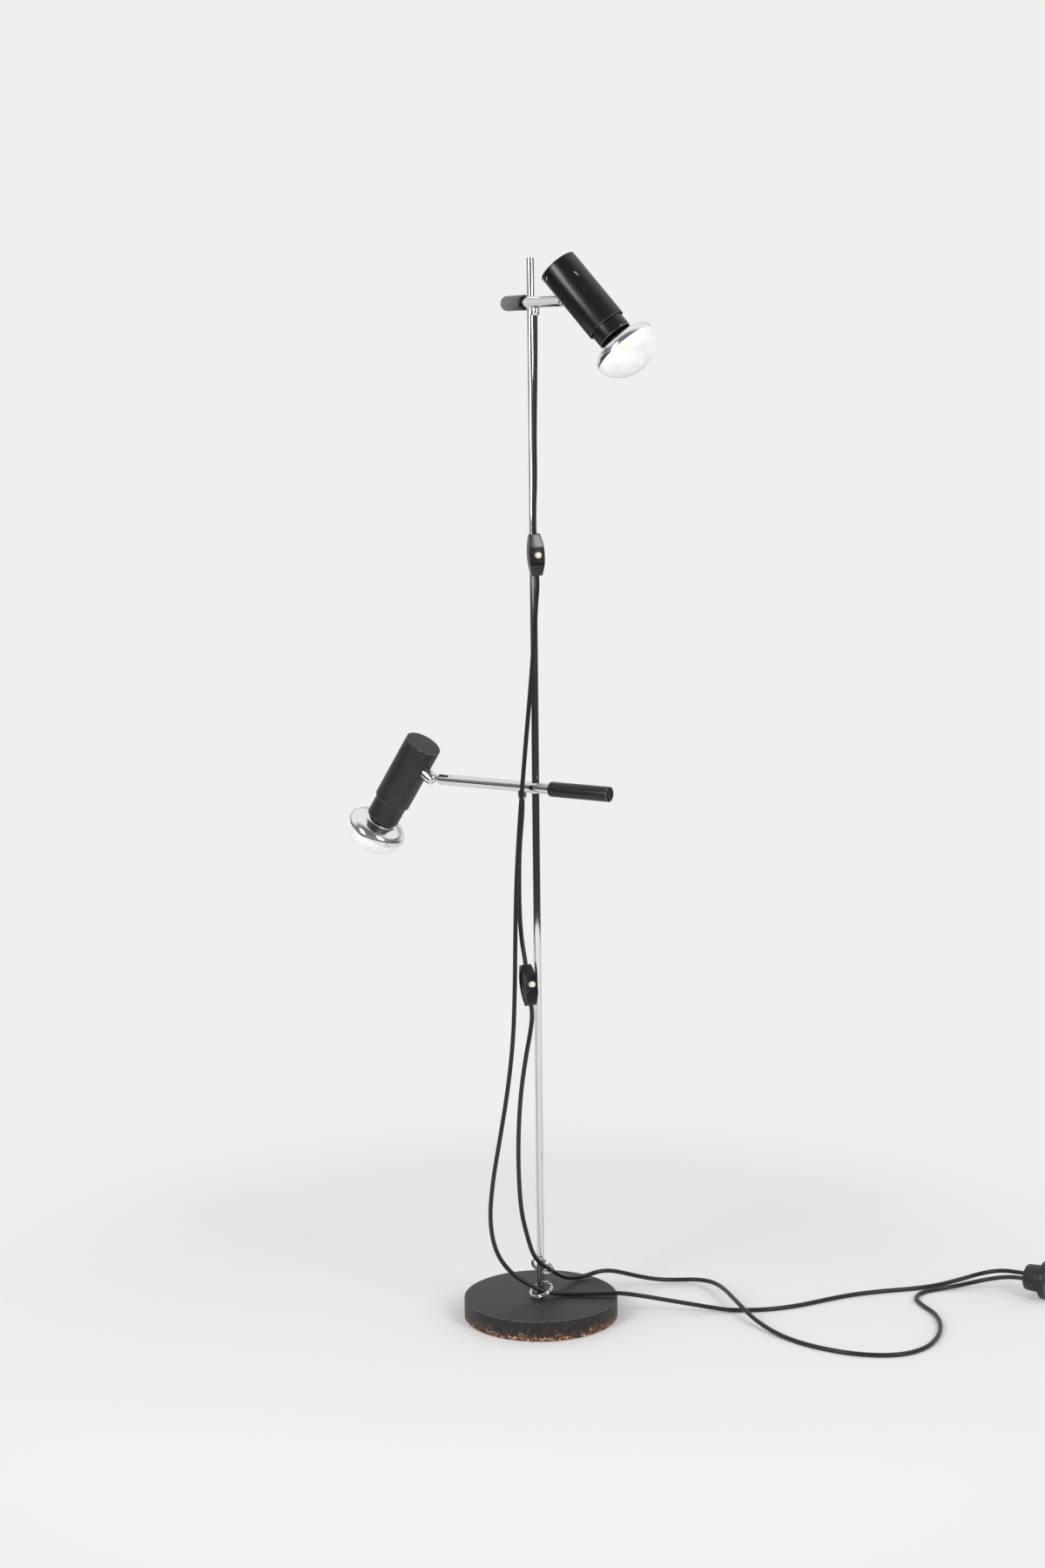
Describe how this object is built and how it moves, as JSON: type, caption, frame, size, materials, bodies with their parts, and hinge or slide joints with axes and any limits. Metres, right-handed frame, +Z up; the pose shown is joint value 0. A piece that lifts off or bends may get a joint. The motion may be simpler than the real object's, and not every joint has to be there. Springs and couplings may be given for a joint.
{
  "type": "two-spot floor lamp",
  "caption": "Slender chrome pole on a heavy round base, with sliding cross arms that carry ball-jointed cylindrical spots, inline switches and a shared plug.",
  "frame": {"origin": "centre of the base's underside, on the floor", "axes": "+Z up along the pole, +X to the right of the front view and +Y away from the viewer"},
  "size_m": [0.9515, 0.4214, 1.3741],
  "materials": {
    "iron_paint": "satin black paint, worn at the rim",
    "felt": "thin black felt",
    "chrome": "polished",
    "steel": "zinc plated",
    "brass": "plain turned",
    "nickel": "nickel plated",
    "black_paint": "satin black lacquer",
    "black_moulding": "glossy black moulding",
    "cream_button": "cream moulding",
    "nylon": "natural nylon",
    "lead": "matt black flexible sheath",
    "plug_moulding": "matt black moulding",
    "bulb_glass": "silvered back, frosted front"
  },
  "bodies": {
    "stand": {"base_disc": "iron_paint", "base_felt": "felt", "pole": "chrome", "pole_washer": "steel", "pole_nut": "steel", "upper_cord_ring": "chrome", "lower_cord_ring": "chrome", "upper_cord_run": "lead", "lower_cord_run": "lead", "plug_cover_upper": "plug_moulding", "plug_cover_lower": "plug_moulding", "plug_front": "plug_moulding", "plug_pins": "nickel"},
    "upper_carriage": {"upper_pole_bush": "nylon", "upper_cord_drop": "lead", "upper_switch_front": "black_moulding", "upper_switch_back": "black_moulding", "upper_switch_bezel": "black_moulding"},
    "upper_button": {"upper_switch_button": "cream_button"},
    "upper_arm": {"upper_arm_tube": "chrome", "upper_arm_grip": "black_paint", "upper_brake_shoe": "brass", "upper_brake_screw": "steel", "upper_arm_end_plug": "chrome", "upper_cord_nipple": "black_moulding"},
    "upper_ball": {"upper_ball_stud": "chrome"},
    "upper_seat": {"upper_ball_seat": "nylon"},
    "upper_head": {"upper_ball_socket": "black_paint", "upper_socket_nut": "brass", "upper_head_tube": "black_paint", "upper_head_cap": "black_paint"},
    "upper_sleeve": {"upper_sleeve": "black_paint", "upper_lampholder_body": "black_moulding", "upper_lampholder_shell": "brass", "upper_bulb_glass": "bulb_glass", "upper_bulb_cap": "nickel"},
    "lower_carriage": {"lower_pole_bush": "nylon", "lower_cord_drop": "lead", "lower_switch_front": "black_moulding", "lower_switch_back": "black_moulding", "lower_switch_bezel": "black_moulding"},
    "lower_button": {"lower_switch_button": "cream_button"},
    "lower_arm": {"lower_arm_tube": "chrome", "lower_arm_grip": "black_paint", "lower_brake_shoe": "brass", "lower_brake_screw": "steel", "lower_arm_end_plug": "chrome", "lower_cord_nipple": "black_moulding"},
    "lower_ball": {"lower_ball_stud": "chrome"},
    "lower_seat": {"lower_ball_seat": "nylon"},
    "lower_head": {"lower_ball_socket": "black_paint", "lower_socket_nut": "brass", "lower_head_tube": "black_paint", "lower_head_cap": "black_paint"},
    "lower_sleeve": {"lower_sleeve": "black_paint", "lower_lampholder_body": "black_moulding", "lower_lampholder_shell": "brass", "lower_bulb_glass": "bulb_glass", "lower_bulb_cap": "nickel"}
  },
  "joints": [
    {"name": "upper_height", "type": "slide", "parent": "stand", "child": "upper_carriage", "axis": [0, 0, 1], "range_m": [-0.15, 0.04], "deforming": ["upper_cord_run"]},
    {"name": "upper_swivel", "type": "hinge", "parent": "upper_carriage", "child": "upper_arm", "pos_m": [0, 0, 1.318], "axis": [0, 0, 1], "range_deg": [-110, 110], "deforming": ["upper_cord_drop"]},
    {"name": "upper_roll", "type": "hinge", "parent": "upper_arm", "child": "upper_ball", "pos_m": [0.0433, -0.15507, 1.318], "axis": [0.2689, -0.9632, 0], "range_deg": [-90, 90]},
    {"name": "upper_tilt", "type": "hinge", "parent": "upper_ball", "child": "upper_seat", "pos_m": [0.0433, -0.15507, 1.318], "axis": [-0.9632, -0.2689, 0], "range_deg": [-68, 10]},
    {"name": "upper_spin", "type": "hinge", "parent": "upper_seat", "child": "upper_head", "pos_m": [0.0433, -0.15507, 1.318], "axis": [0.2352, -0.8424, 0.4848], "range_deg": [-150, 150]},
    {"name": "upper_sleeve_out", "type": "slide", "parent": "upper_head", "child": "upper_sleeve", "axis": [0.6078, -0.2618, -0.7497], "range_m": [-0.01, 0.02]},
    {"name": "upper_push", "type": "slide", "parent": "upper_carriage", "child": "upper_button", "axis": [0.3392, -0.9405, 0.0187], "range_m": [-0.0025, 0], "stiffness_N_per_m": 400, "springref_m": 0.001},
    {"name": "lower_height", "type": "slide", "parent": "stand", "child": "lower_carriage", "axis": [0, 0, 1], "range_m": [-0.2, 0.1], "deforming": ["lower_cord_run"]},
    {"name": "lower_swivel", "type": "hinge", "parent": "lower_carriage", "child": "lower_arm", "pos_m": [0, 0, 0.7055], "axis": [0, 0, 1], "range_deg": [-72, 22], "deforming": ["lower_cord_drop"]},
    {"name": "lower_roll", "type": "hinge", "parent": "lower_arm", "child": "lower_ball", "pos_m": [-0.13654, 0.08532, 0.7055], "axis": [-0.848, 0.5299, 0], "range_deg": [-90, 90]},
    {"name": "lower_tilt", "type": "hinge", "parent": "lower_ball", "child": "lower_seat", "pos_m": [-0.13654, 0.08532, 0.7055], "axis": [0.5299, 0.848, 0], "range_deg": [-72, 5]},
    {"name": "lower_spin", "type": "hinge", "parent": "lower_seat", "child": "lower_head", "pos_m": [-0.13654, 0.08532, 0.7055], "axis": [-0.7104, 0.4439, 0.5461], "range_deg": [-150, 150]},
    {"name": "lower_sleeve_out", "type": "slide", "parent": "lower_head", "child": "lower_sleeve", "axis": [-0.4631, 0.2894, -0.8377], "range_m": [-0.023, 0.007]},
    {"name": "lower_push", "type": "slide", "parent": "lower_carriage", "child": "lower_button", "axis": [0.4966, -0.8242, 0.2721], "range_m": [-0.0025, 0], "stiffness_N_per_m": 400, "springref_m": 0.001}
  ]
}
